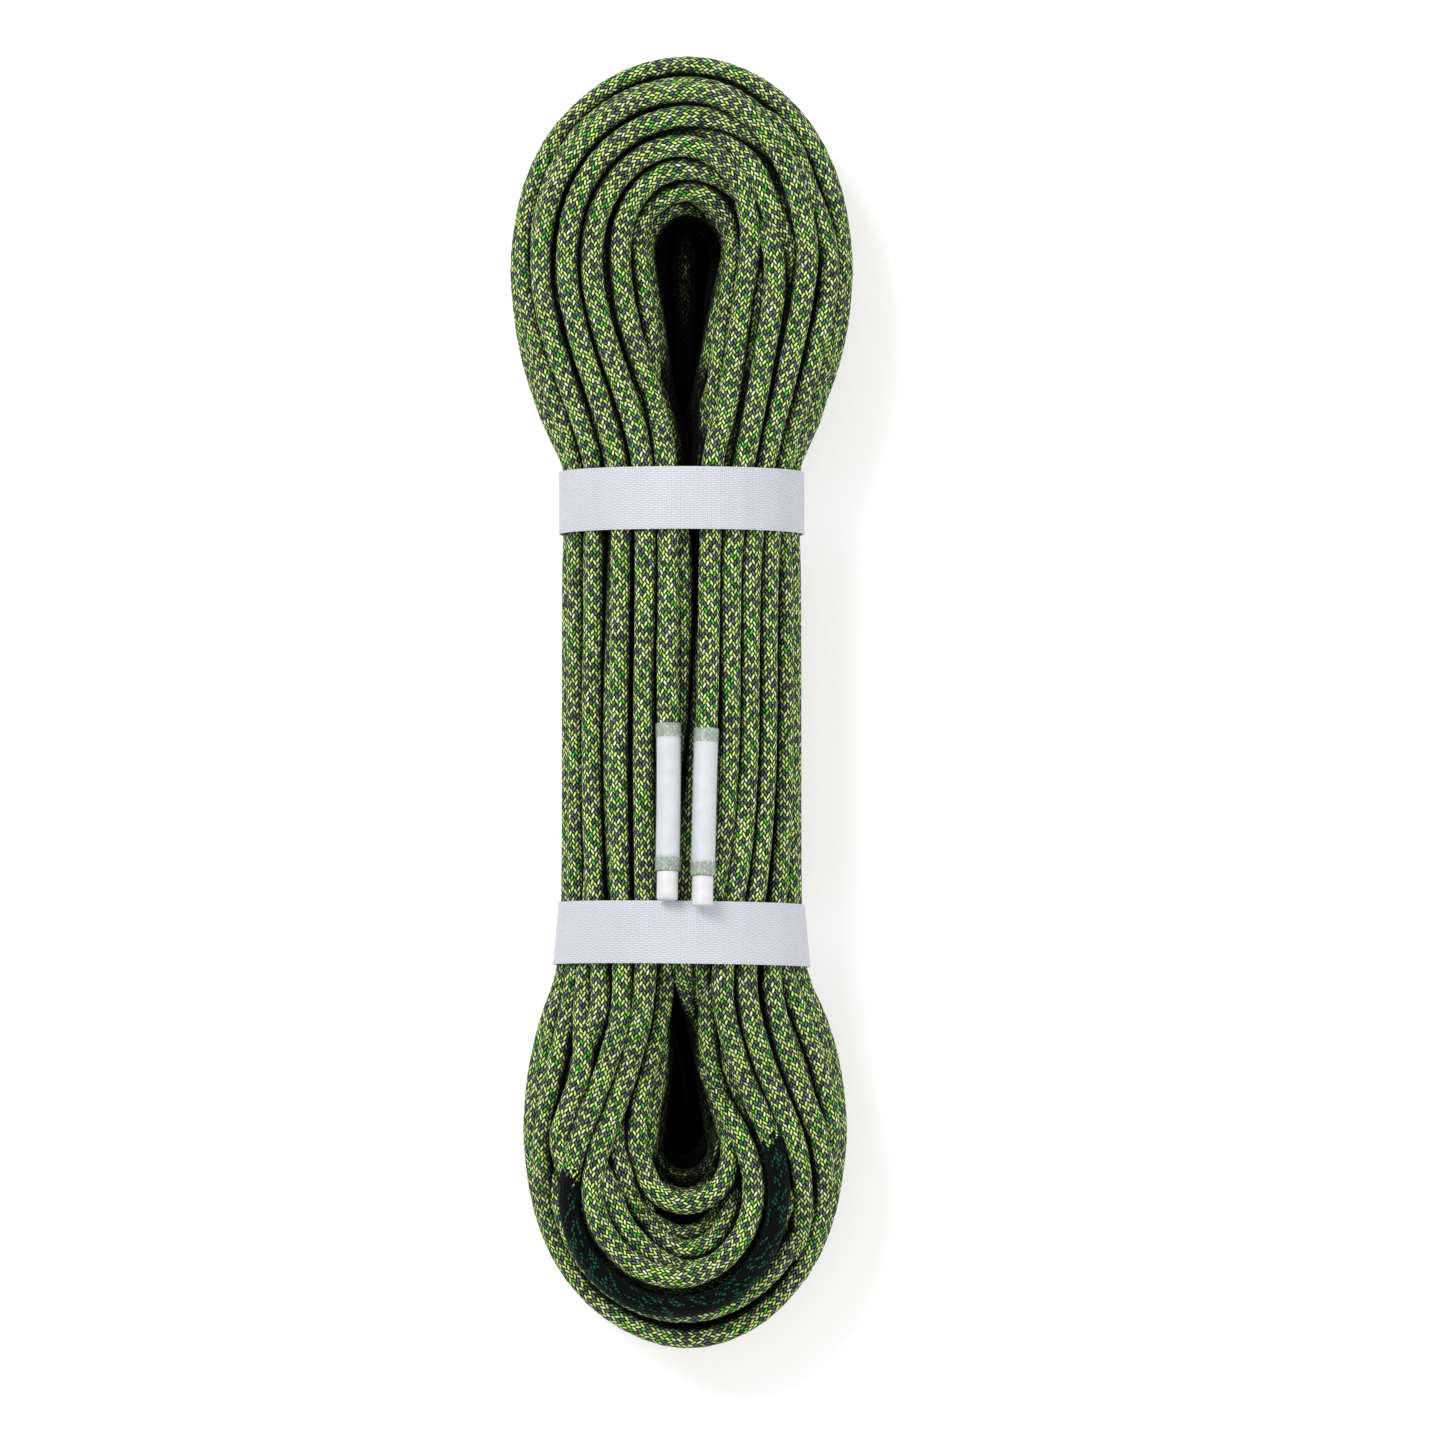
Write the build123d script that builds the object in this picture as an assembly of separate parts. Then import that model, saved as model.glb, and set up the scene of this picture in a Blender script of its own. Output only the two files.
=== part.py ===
from build123d import *
import math
import os

# A hank of 30 m of thin kernmantle climbing cord, folded into flat racetrack turns and
# bound round its waist with two woven bands. Both cord ends lie along the front of the
# waist, each with a paper label under a clear shrunk sleeve and a sealed white tip.
# Millimetres. The hank lies on its back: +Y along its length, +Z out of its front, and
# the origin under its middle, on the surface that it lies on.

# The cord: a braided sheath round a bundle of parallel core strands
cord_diameter = 5.0
sheath_wall = 0.7
core_clearance = 0.01
outer_core_strands = 6

# The bands of woven ribbon
band_width = 13.9
band_thickness = 0.45
band_clearance = 0.3
upper_band_bottom = 37.4
lower_band_top = -45.0
lap_start_angle = 200.0
lap_turn = 24.0

# The waist, which is round and keeps its width between the bands
waist_half_width = 26.7
waist_height = 53.6
waist_lift = 1.0
upper_edge_margin = 0.7
lower_edge_margin = 0.5
lower_flare_half_width = 28.1

# The loops at the two ends of the hank
hank_half_length = 144.9
flare_power = 2.4
underside_press = 1.6
crest_step = 15
top_loop_half_width = 37.9
top_loop_widest = 101.0
top_loop_height = 42.0
top_eye_x = 1.5
top_eye_half_width = 7.6
top_eye_length = 8.0
top_leg_overlap = 4.0
bottom_loop_left_width = 34.9
bottom_loop_right_width = 36.5
bottom_loop_widest = -99.0
bottom_loop_height = 43.0
bottom_eye_x = 0.8
bottom_eye_half_width = 4.4
bottom_eye_length = -5.5
bottom_leg_overlap = 2.0

# The rear turns, which lie across the loops' eyes
rear_turns_bottom = 4.0
rear_turns_height = 11.0
rear_turns_lap = 5.0
rear_turns_reach = 24.0

# What is on the cord ends
wrap_clearance = 0.02
label_thickness = 0.1
label_length = 27.0
left_label_inset = 3.1
right_label_inset = 2.3
sleeve_wall = 0.21
sleeve_length = 33.0
tip_shrink = 0.15
tip_edge = 0.25
left_tip_length = 6.3
right_tip_length = 6.6
groove_clearance = 0.3

# Sizes that follow
cord_radius = cord_diameter / 2
sheath_bore = cord_radius - sheath_wall
core_strand_radius = sheath_bore / 3 - core_clearance
core_strand_pitch = 2 * core_strand_radius + core_clearance
upper_band_top = upper_band_bottom + band_width
lower_band_bottom = lower_band_top - band_width
waist_top_end = upper_band_top + upper_edge_margin
waist_bottom_end = lower_band_top + lower_edge_margin
lower_flare_end = lower_band_bottom - lower_edge_margin
waist_half_height = waist_height / 2
waist_centre = waist_lift + waist_half_height
front = waist_lift + waist_height
label_bore = cord_radius + wrap_clearance
label_radius = label_bore + label_thickness
sleeve_bore = label_radius + wrap_clearance
sleeve_radius = sleeve_bore + sleeve_wall
tip_radius = cord_radius - tip_shrink

# Routes of the two end stretches, from the turns under the upper band to the tips. They
# leave the front layer of turns, rise slowly over it and pass the lower band's edge.
arc_share = 0.45
left_route = [
    (-3.3, 50.0, front - 3.8),
    (-2.7, 28.5, front - 3.3),
    (-3.1, 6.0, front - 1.9),
    (-2.6, -17.0, front + 0.2),
    (-3.0, -38.6, front + 2.5),
]
right_route = [
    (6.9, 50.0, front - 4.2),
    (6.2, 28.0, front - 3.7),
    (6.0, 5.0, front - 2.2),
    (5.2, -18.0, front + 0.1),
    (4.8, -39.7, front + 2.6),
]


def blend(start, end, share):
    return start + (end - start) * share


def bundle_section(inner, outer, lean, low, high):
    """Cross-section of one leg of turns, between an inner and an outer point in plan."""
    span = Vector(*outer) - Vector(*inner)
    outward = span.normalized()
    reach_in = span.length * lean
    reach_out = span.length - reach_in
    half_height = (high - low) / 2
    centre = Vector(*inner) + outward * reach_in + Vector(0, 0, low + half_height)
    frame = Plane(origin=centre, x_dir=outward, z_dir=outward.cross(Vector(0, 0, 1)))
    quarters = [
        EllipticalCenterArc((0, 0), reach, half_height, start_angle=start, arc_size=90)
        for start, reach in ((0, reach_out), (90, reach_in), (180, reach_in), (270, reach_out))
    ]
    return frame * make_face(quarters)


def leg(side, start_y, start_width, eye, width, widest, height):
    """One side of a loop, from the waist's end to the loop's crest."""
    eye_x, eye_width, eye_length, overlap = eye
    crest = math.copysign(hank_half_length, widest)
    waist_lean = overlap / (overlap + start_width)
    sections = []
    for share in (0.0, 0.15, 0.32, 0.52, 0.76):
        flare = 1 - (1 - share) ** flare_power
        y = blend(start_y, widest, share)
        inner_x = blend(-side * overlap, eye_x + side * eye_width, share)
        outer_x = side * blend(start_width, width, flare)
        low = blend(waist_lift, -underside_press, flare)
        high = blend(front, height, flare)
        sections.append(bundle_section((inner_x, y), (outer_x, y), blend(waist_lean, 0.5, flare), low, high))
    for turn in range(0, 91, crest_step):
        across = math.cos(math.radians(turn))
        along = math.sin(math.radians(turn))
        inner = (eye_x + side * eye_width * across, widest + eye_length * along)
        outer = (blend(eye_x, side * width, across), blend(widest, crest, along))
        sections.append(bundle_section(inner, outer, 0.5, -underside_press, height))
    return loft(sections)


def waist_section(y, half_width, margin):
    frame = Plane(origin=(0, y, waist_centre), x_dir=(1, 0, 0), z_dir=(0, -1, 0))
    return frame * Ellipse(half_width + margin, waist_half_height + margin)


def half_width_at(y):
    """Half width of the waist, which widens under the lower band."""
    share = (waist_bottom_end - y) / (waist_bottom_end - lower_flare_end)
    return blend(waist_half_width, lower_flare_half_width, min(max(share, 0.0), 1.0))


def waist_length(top, bottom, margin=0.0):
    """A length of the waist's shape, with a margin all round."""
    ends = [waist_section(y, half_width_at(y), margin) for y in (top, bottom)]
    return loft(ends, ruled=True)


def rear_turns(eye, widest):
    """The rear turns, which lie across a loop's eye and close it from behind."""
    eye_x, eye_width, _, _ = eye
    centre_y = widest - math.copysign(rear_turns_reach / 2, widest)
    place = Plane.XY.offset(rear_turns_bottom) * Pos(eye_x, centre_y)
    return extrude(place * Ellipse(eye_width + rear_turns_lap, rear_turns_reach), rear_turns_height)


def loop(start_y, start_width, eye, left_width, right_width, widest, height):
    """Both sides of a loop and the turns behind its eye."""
    left = leg(-1, start_y, start_width, eye, left_width, widest, height)
    right = leg(1, start_y, start_width, eye, right_width, widest, height)
    return left + right + rear_turns(eye, widest)


def coil():
    """The outer shape of the wound turns, pressed flat where the loops lie."""
    top_eye = (top_eye_x, top_eye_half_width, top_eye_length, top_leg_overlap)
    bottom_eye = (bottom_eye_x, bottom_eye_half_width, bottom_eye_length, bottom_leg_overlap)
    waist = waist_length(waist_top_end, waist_bottom_end) + waist_length(waist_bottom_end, lower_flare_end)
    top_loop = loop(waist_top_end, waist_half_width, top_eye,
                    top_loop_half_width, top_loop_half_width, top_loop_widest, top_loop_height)
    bottom_loop = loop(lower_flare_end, lower_flare_half_width, bottom_eye,
                       bottom_loop_left_width, bottom_loop_right_width, bottom_loop_widest, bottom_loop_height)
    under_floor = Pos(0, 0, -waist_height / 2) * Box(4 * top_loop_half_width, 3 * hank_half_length, waist_height)
    return waist + top_loop + bottom_loop - under_floor


def cord_path(side, route):
    """Straight runs joined by arcs as large as the runs allow."""
    points = [Vector(*point) for point in route]
    radii = []
    for before, corner, after in zip(points, points[1:], points[2:]):
        turn = (corner - before).get_angle(after - corner)
        shorter = min((corner - before).length, (after - corner).length)
        radii.append(arc_share * shorter / math.tan(math.radians(turn / 2)))
    print(side, "arc radii", [round(radius) for radius in radii])
    return FilletPolyline(*points, radius=radii)


def frame_on(path, at=0):
    along = path % at
    return Plane(origin=path @ at, x_dir=Vector(0, 0, 1).cross(along), z_dir=along)


def tube(path, outer, inner):
    return sweep(frame_on(path) * (Circle(outer) - Circle(inner)), path)


def groove(path, radius):
    """The open channel that a cord end lies in, across the front of the turns."""
    opening = Circle(radius) + Pos(0, -2 * radius) * Rectangle(2 * radius, 4 * radius)
    return sweep(frame_on(path) * opening, path)


def save(name, shape):
    shape.label = name
    export_step(shape, f"parts/{name}.step")


def core_strands(side, path):
    """Six strands round a seventh, filling the sheath's bore."""
    for number in range(outer_core_strands + 1):
        angle = math.radians(360 * number / outer_core_strands)
        offset = core_strand_pitch if number < outer_core_strands else 0
        place = Pos(offset * math.cos(angle), offset * math.sin(angle))
        strand = sweep(frame_on(path) * place * Circle(core_strand_radius), path)
        save(f"{side}_core_strand_{number + 1}", strand)


def cord_end(side, route, tip_length, label_inset):
    """Writes every piece of one cord end, and returns the groove that it lies in."""
    path = cord_path(side, route)
    sheath = tube(path, cord_radius, sheath_bore)
    straight_volume = math.pi * (cord_radius ** 2 - sheath_bore ** 2) * path.length
    print(side, "stretch", round(path.length, 1), "volume ratio", round(sheath.volume / straight_volume, 4))
    save(f"{side}_end_sheath", sheath)
    core_strands(side, path)

    label_start = path.length - sleeve_length + label_inset
    label_path = path.trim(label_start / path.length, (label_start + label_length) / path.length)
    save(f"{side}_end_label", tube(label_path, label_radius, label_bore))

    sleeve_path = path.trim(1 - sleeve_length / path.length, 1)
    save(f"{side}_end_sleeve", tube(sleeve_path, sleeve_radius, sleeve_bore))

    tip = extrude(frame_on(path, 1) * Circle(tip_radius), tip_length)
    tip = fillet(tip.edges().sort_by(Axis.Y)[0], tip_edge)
    save(f"{side}_end_tip", tip)
    return groove(path, cord_radius + groove_clearance) + groove(sleeve_path, sleeve_radius + groove_clearance)


def band(top, bottom):
    """A loop of ribbon round the waist, with its ends lapped and welded behind."""
    ribbon = waist_length(top, bottom, band_clearance + band_thickness)
    second_layer = waist_length(top, bottom, band_clearance + 2 * band_thickness)
    corners = [(0, 0)]
    for angle in (lap_start_angle, lap_start_angle + lap_turn):
        corners.append((waist_height * math.cos(math.radians(angle)), waist_height * math.sin(math.radians(angle))))
    lap_frame = Plane(origin=(0, top, waist_centre), x_dir=(1, 0, 0), z_dir=(0, -1, 0))
    lap = second_layer & extrude(lap_frame * make_face(Polyline(*corners, close=True)), band_width)
    return ribbon + lap - waist_length(top, bottom, band_clearance)


os.makedirs("parts", exist_ok=True)
hank = coil()
hank -= cord_end("left", left_route, left_tip_length, left_label_inset)
hank -= cord_end("right", right_route, right_tip_length, right_label_inset)
print("coil volume", round(hank.volume / 1000), "cm3")
save("hank", hank)
save("upper_band", band(upper_band_top, upper_band_bottom))
save("lower_band", band(lower_band_top, lower_band_bottom))
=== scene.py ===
import bpy
import math
import numpy as np
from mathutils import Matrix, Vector


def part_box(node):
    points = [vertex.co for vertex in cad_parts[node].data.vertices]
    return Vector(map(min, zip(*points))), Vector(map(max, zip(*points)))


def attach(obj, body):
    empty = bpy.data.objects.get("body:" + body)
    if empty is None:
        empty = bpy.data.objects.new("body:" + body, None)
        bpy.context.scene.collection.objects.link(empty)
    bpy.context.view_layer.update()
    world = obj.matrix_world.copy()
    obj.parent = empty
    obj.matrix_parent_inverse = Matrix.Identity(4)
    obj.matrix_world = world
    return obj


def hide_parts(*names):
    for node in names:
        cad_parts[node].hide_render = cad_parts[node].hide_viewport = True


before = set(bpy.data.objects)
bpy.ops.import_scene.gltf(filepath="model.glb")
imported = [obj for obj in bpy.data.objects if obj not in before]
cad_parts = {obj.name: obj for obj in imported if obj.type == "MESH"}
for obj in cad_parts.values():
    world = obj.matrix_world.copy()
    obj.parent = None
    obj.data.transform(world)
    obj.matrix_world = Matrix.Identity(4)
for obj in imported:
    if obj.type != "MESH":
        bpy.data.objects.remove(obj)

scene = bpy.context.scene
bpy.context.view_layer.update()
mm = 0.001
print("frame loaded:", len(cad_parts), "nodes")

# the cord (mm, but its length in metres)
cord = dict(diameter=5.0, length=30.0, passes=53, markedPass=26, tubeSides=14, curveSteps=3)
cordRadius = cord["diameter"] / 2

# the hank that its turns make: the waist, and a loop with an eye at each end (mm)
hank = dict(halfLength=145.5, halfWidth=26.8, low=1.0, high=54.6, press=1.6, lean=0.5,
            flarePower=2.4, innerPower=1.3, waistRows=(-36.0, -12.0, 12.0, 36.0),
            flankShares=(0.0, 0.28, 0.56, 0.8), archTurns=(0.0, 22.5, 45.0, 67.5, 90.0))
topLoop = dict(name="top", start=52.0, flareWidth=25.7, widest=101.0, left=38.2, right=38.2, height=42.0,
               eyeX=1.5, eyeWidth=7.8, eyeLength=8.0)
bottomLoop = dict(name="bottom", start=-59.4, flareWidth=27.1, widest=-99.0, left=35.2, right=36.8,
                  height=43.0, eyeX=0.8, eyeWidth=5.4, eyeLength=-5.5)

# end stretches, with the same points as in the CAD part (mm, height from the waist's front)
leftRoute = [(-3.3, 50.0, -3.8), (-2.7, 28.5, -3.3), (-3.1, 6.0, -1.9),
             (-2.6, -17.0, 0.2), (-3.0, -38.6, 2.5)]
rightRoute = [(6.9, 50.0, -4.2), (6.2, 28.0, -3.7), (6.0, 5.0, -2.2),
              (5.2, -18.0, 0.1), (4.8, -39.7, 2.6)]
leftDive, rightDive = (-3.5, 54.5, -4.4), (7.1, 54.5, -4.8)  # where they go down into the hank


def blendTo(a, b, share):
    return a + (b - a) * share


def flankStation(side, loop, share):
    # a section through one side of a loop, between the waist and the loop's widest place
    flare = 1 - (1 - share) ** hank["flarePower"]
    y = blendTo(loop["start"], loop["widest"], share)
    width = loop["left" if side < 0 else "right"]
    return dict(inner=(blendTo(0.0, loop["eyeX"] + side * loop["eyeWidth"], share ** hank["innerPower"]), y),
                outer=(side * blendTo(loop["flareWidth"], width, flare), y), lean=hank["lean"] * flare,
                low=blendTo(hank["low"], -hank["press"], flare),
                high=blendTo(hank["high"], loop["height"], flare), row="%s%g" % (loop["name"], share))


def archStation(side, loop, turn):
    # a section further round, up to the loop's crest at 90 degrees
    width = loop["left" if side < 0 else "right"]
    across, along = math.cos(math.radians(turn)), math.sin(math.radians(turn))
    crest = math.copysign(hank["halfLength"], loop["widest"])
    inner = (loop["eyeX"] + side * loop["eyeWidth"] * across, loop["widest"] + loop["eyeLength"] * along)
    outer = (blendTo(loop["eyeX"], side * width, across), blendTo(loop["widest"], crest, along))
    return dict(inner=inner, outer=outer, lean=hank["lean"], low=-hank["press"], high=loop["height"],
                row="" if turn else loop["name"] + "Arch")


def waistStation(side, y):
    return dict(inner=(0.0, y), outer=(side * hank["halfWidth"], y), lean=0.0,
                low=hank["low"], high=hank["high"], row="waist%g" % y)


def roundLoop(side, loop):
    # up one side of a loop, over its crest and down the other side
    return ([flankStation(side, loop, share) for share in hank["flankShares"]]
            + [archStation(side, loop, turn) for turn in hank["archTurns"]]
            + [archStation(-side, loop, turn) for turn in hank["archTurns"][-2::-1]]
            + [flankStation(-side, loop, share) for share in hank["flankShares"][::-1]])


# one full turn, from the waist up the left side, over the top and round again
topHalf = roundLoop(-1, topLoop)
bottomHalf = ([waistStation(1, y) for y in hank["waistRows"][::-1]] + roundLoop(1, bottomLoop)
              + [waistStation(-1, y) for y in hank["waistRows"]])
stations = topHalf + bottomHalf
bottomCrest = len(topHalf) + sum(len(hank[key]) for key in ("waistRows", "flankShares", "archTurns")) - 1

# how the turns are packed and how they settle (mm)
packing = dict(spacing=4.95, tightest=9.0, rounds=420, settling=15, pushesEach=3, seed=7,
               wanderAcross=1.6, wanderDeep=1.2, wanderStride=13,
               topCells=(4, 7, 8, 8, 8, 8, 6, 4), bottomCells=(4, 7, 8, 8, 8, 7, 6, 4),
               cellOrder=(0, 2, 4, 6, 7, 5, 3, 1), roundWaist=2.0, squareLoop=2.6, squareFrom=0.3,
               loopSlack=0.3, slackFrom=0.05, calmFirst=0.35, calmAlways=0.03, homeFirst=0.06,
               springBack=0.4, keepRoute=0.4, longestMove=1.2, goUnder=2.5,
               pastInner=9, pastOuter=3, overMiddle=1.5)


def cellsOf(counts):
    cells = []
    forward = True
    for column in packing["cellOrder"]:
        layers = [(column, (layer + 0.5) / counts[column]) for layer in range(counts[column])]
        cells += layers if forward else layers[::-1]
        forward = not forward
    return cells


def sectionOf(station):
    # inner end, direction outward, its length, lean, low and high
    inner = np.array(station["inner"])
    span = np.array(station["outer"]) - inner
    length = np.linalg.norm(span)
    return inner, span / length, length, station["lean"], station["low"], station["high"]


def placeCell(cell, station):
    # a cell is a column and its share of the depth, from the front
    column, depth = cell
    _, _, length, lean, low, high = sectionOf(station)
    away = blendTo(cordRadius, length - cordRadius, column / (len(packing["cellOrder"]) - 1))
    reachIn, reachOut = length * lean, length * (1 - lean)
    middle = (low + high) / 2
    off = away - reachIn
    reach = reachOut if off > 0 else max(reachIn, 1e-6)
    half = (high - low) / 2 * math.sqrt(max(1 - (off / reach) ** 2, 0.05))
    deepest = max(middle - half + cordRadius, cordRadius)
    return away, blendTo(middle + half - cordRadius, deepest, depth)


# turns that lie in front, as given routes: x, y and how deep under the hank's face, if at all (mm)
frontTurns = {
    ("top", 1): [(2.5, 52), (1.2, 63), (-1.5, 71), (-4.2, 80), (-6.9, 88), (-8.5, 95), (-8.6, 102),
        (-6.6, 108, 1), (-2.2, 112.6, 1), (3, 112, 3), (7.4, 107.5, 5), (8.6, 101, 7), (8, 94, 9),
        (6.5, 86, 11), (5.5, 78, 12), (5, 66, 12), (5, 52, 10)],
    ("top", 0): [(-4.9, 63), (-8.9, 73), (-11.9, 83), (-13.5, 91), (-14.2, 99), (-13.6, 105.5), (-11.2, 112),
        (-7, 116.6), (-2.2, 118.9), (3, 119, 1), (8, 117.8, 3), (13.5, 114, 4), (18.5, 107, 3),
        (21.5, 100, 1), (21.5, 93), (19.6, 83), (16.9, 68), (13.7, 52)],
    ("top", 52): [(-7.8, 52), (-10.6, 63), (-14.6, 73), (-18, 83), (-19.8, 91), (-20.4, 99), (-19.8, 106),
        (-17, 113.5), (-11.5, 120), (-4, 124.2), (1, 124.4), (7, 122.6), (12, 118, -1), (15.2, 111.5, -1),
        (16.2, 104), (15, 97), (13.8, 88), (12, 76), (10, 63)],
    ("top", 27): [(-13.2, 52), (-16.5, 63), (-20.6, 73), (-23.7, 83), (-25.3, 91), (-25.9, 99), (-25.2, 107),
        (-22.2, 116), (-16, 124), (-7, 129.5), (2, 131, 1), (10, 130, 3), (20, 124.5, 4), (28, 115, 2),
        (32, 105), (33.3, 98), (31.5, 83), (26.5, 66), (22.6, 52)],
    ("top", 26): [(-18.6, 52), (-22, 63), (-26.3, 73), (-29.5, 83), (-31.1, 91), (-31.5, 99), (-30.8, 108),
        (-27, 119), (-19.5, 128.5), (-9, 135), (2, 137), (11, 135, -1), (19, 128.5, -1), (25, 118, -1),
        (28.3, 106), (28.4, 98), (26, 83), (21.8, 66), (18.2, 52)],
    ("top", 38): [(-23, 52), (-26.5, 63), (-31, 76), (-34, 88), (-35.6, 99), (-34.5, 111), (-30.2, 123.3),
        (-22.2, 134.2), (-11, 141.6), (2, 144.4), (13, 141.2), (23.2, 133.8), (30.5, 122), (34.5, 111),
        (35.6, 99), (33.5, 84), (28, 66), (23.4, 52)],
    ("bottom", 51): [(4, 0, 5), (2, -36, 4), (-1.6, -59), (0.6, -70), (5.2, -82.4), (12.2, -94),
        (16.4, -103.3), (16.9, -113.8), (12.2, -123.4, -1), (4.4, -128.6, -1), (-3.7, -129.7, -1),
        (-13.1, -125.4, -1), (-19.5, -116.5), (-21.1, -108.7), (-18, -98.2), (-14.2, -90.2), (-9.5, -74),
        (-7.2, -59), (-8.6, -24), (-7.7, 19), (-7.7, 40)],
    ("bottom", 26): [(15.6, 44), (14.8, 19), (15, -12), (13.8, -36), (8, -59), (9.2, -71), (13.9, -84.3),
        (19.2, -95), (22.2, -103.3), (22.4, -113.8), (19.1, -124.6), (12.2, -132.4), (1.7, -135.9),
        (-8.8, -135), (-18, -129.7), (-23.1, -122.3), (-26.2, -113.8), (-25.8, -106.5), (-21.6, -94.4),
        (-16.9, -83), (-13.5, -72), (-12.4, -59), (-14.3, -24), (-13.2, 19), (-13.2, 40)],
    ("bottom", 0): [(11.5, 52, 1), (10.7, 36), (10.7, 12), (11, -12), (9.5, -36, 0.5), (4, -59, 3),
        (4.5, -70, 5), (8, -84, 8)],
    ("bottom", 1): [(2.2, -59, 8), (3.2, -70, 7), (6, -82, 6), (10.3, -94, 6), (12.2, -104, 6),
        (12, -114, 6), (8.5, -121, 6), (2, -124, 6), (-5, -121.5, 7), (-9, -115, 9), (-9.5, -107, 11),
        (-8, -98, 12), (-6, -86, 13), (-4, -72, 13), (-3, -59, 12)],
    ("bottom", 50): [(1, -59, 10), (1.8, -70, 9), (4, -82, 9), (7, -94, 9), (8, -103, 9), (7.5, -111, 9),
        (3.5, -116.5, 9), (-2, -117, 9), (-6, -112, 10), (-7, -104, 11), (-6, -92, 13), (-4, -76, 14),
        (-2.5, -59, 14)],
    ("bottom", 27): [(20.5, 44), (18.9, 36), (18.8, 12), (19, -12), (18, -36), (13, -59), (15.2, -72),
        (19.5, -84.5), (24.6, -95.5), (27.4, -104, 1), (27.5, -113, 4), (25, -123, 6)],
    ("bottom", 25): [(-17.6, -59), (-20, -30), (-19.4, 19), (-18.6, 40)],
    ("bottom", 37): [(22.6, 30), (22.8, -36), (18.5, -59), (21, -72), (25.5, -84), (29.8, -95), (33, -104),
        (33.8, -113.5), (31.6, -123.5), (27.5, -131.5), (20.5, -137.8), (11, -142.3), (1, -143.3),
        (-10, -139.9), (-20.5, -133.8), (-28, -124.5), (-31.4, -114), (-31.9, -103), (-29, -86),
        (-24.6, -70), (-22.6, -59), (-24, -20), (-23.6, 30)],
}

# short turns at the back, which close the eyes from behind: x, y and height (mm)
rearTurns = {
    ("top", 45): [(3, 52, 14), (1.6, 64, 14), (1, 76, 14), (0.8, 88, 14), (0.2, 98, 14), (0.9, 107, 14),
        (6.2, 113.3, 14), (14.5, 113.5, 14), (19.5, 109, 14), (21.5, 101, 14), (19.5, 88, 14), (16, 76, 14),
        (13, 64, 14), (10.5, 52, 14)],
    ("top", 3): [(-2, 52, 6), (0, 64, 5), (2, 76, 4.5), (3.4, 88, 4), (4.2, 97, 4), (5, 105, 4),
        (8.6, 111.5, 4), (14.5, 113, 4), (20, 109, 4), (21.5, 101, 4), (19.5, 91, 4), (16, 78, 4.5),
        (12, 64, 5), (8, 52, 5.5)],
    ("top", 46): [(-6, 52, 11), (-6, 64, 10), (-5.6, 76, 10), (-5.4, 87, 10), (-6.4, 96, 10),
        (-6.6, 104, 10), (-2.2, 110.2, 10), (3.8, 110.6, 9), (8.4, 105, 9), (8.6, 97, 9), (7, 88, 9),
        (6.8, 77, 9.5), (7, 64, 10), (6.5, 52, 10)],
    ("top", 4): [(-8, 52, 5), (-11.5, 64, 5), (-15.5, 78, 4.5), (-18.5, 91, 4), (-20, 101, 4),
        (-18, 109.5, 4), (-12, 114.5, 4), (-5.8, 112, 4), (-2.2, 105, 4.5), (-1.6, 96, 6), (-1.2, 87, 7),
        (-0.6, 77, 9), (1.5, 65, 10), (4.5, 52, 9)],
    ("bottom", 3): [(3, -59.4, 6), (1.6, -70, 5), (-0.4, -82, 4.5), (-1.5, -92, 4), (-1.5, -101, 4),
        (-4, -109, 4), (-9, -113.5, 4), (-15.5, -112, 4), (-19.5, -106, 4), (-19.5, -98, 4), (-17, -87, 4),
        (-12, -72, 4.5), (-7, -59.4, 5)],
    ("bottom", 46): [(6, -59.4, 10), (6.2, -70, 10), (6.8, -82, 11), (7.2, -90, 13), (7.4, -97, 14),
        (4.2, -103.2, 15), (-2.7, -103.2, 15), (-6.7, -97, 14), (-6, -89, 13), (-4, -80, 11),
        (-3.8, -70, 10), (-3.5, -59.4, 10)],
    ("bottom", 4): [(8, -59.4, 5), (12, -72, 5), (16, -86, 4.5), (19.5, -97, 4), (20, -105, 4),
        (16, -111, 4), (9.4, -112, 4), (3.4, -107, 4), (2.5, -98, 6), (3, -87, 8), (1.4, -75, 9.5),
        (-1.5, -62, 9)],
}


def smoothRoute(points):
    # the line that a spline draws with these points
    line = np.array([(*point, 0)[:3] for point in points], float)
    line = np.vstack([2 * line[:1] - line[1:2], line, 2 * line[-1:] - line[-2:-1]])
    before, here, after = line[:-2, None], line[1:-1, None], line[2:, None]
    t = np.arange(0, 1, 0.125)[None, :, None]
    return (((1 - t) ** 2 * before + (1 + 2 * t - 2 * t * t) * here + t * t * after) / 2).reshape(-1, 3)


def halfOf(s):
    return "top" if s < len(topHalf) else "bottom"


def crossing(s, points):
    # where a given route passes a station, if it does: how far out, and its third value there
    inner, outward, length = sectionOf(stations[s])[:3]
    across = np.array([-outward[1], outward[0]])
    line = smoothRoute(points)
    side, away = (line[:, :2] - inner) @ across, (line[:, :2] - inner) @ outward
    # a route passes each height twice: at the top it goes up on the left, at the bottom down on the right
    firstLeg = (outward[0] < 0) == (halfOf(s) == "top")
    for n in range(len(line) - 1) if firstLeg else range(len(line) - 2, -1, -1):
        if side[n] * side[n + 1] <= 0 and side[n] != side[n + 1]:
            share = side[n] / (side[n] - side[n + 1])
            here = blendTo(away[n], away[n + 1], share)
            if -packing["pastInner"] < here < length + packing["pastOuter"]:
                return here, blendTo(line[n, 2], line[n + 1, 2], share)


def routeAt(route, y):
    # where an end stretch passes a row of the waist
    ys = [point[1] for point in route][::-1]
    x, z = (np.interp(y, ys, [point[axis] for point in route][::-1]) for axis in (0, 2))
    return x, z + hank["high"]


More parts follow.
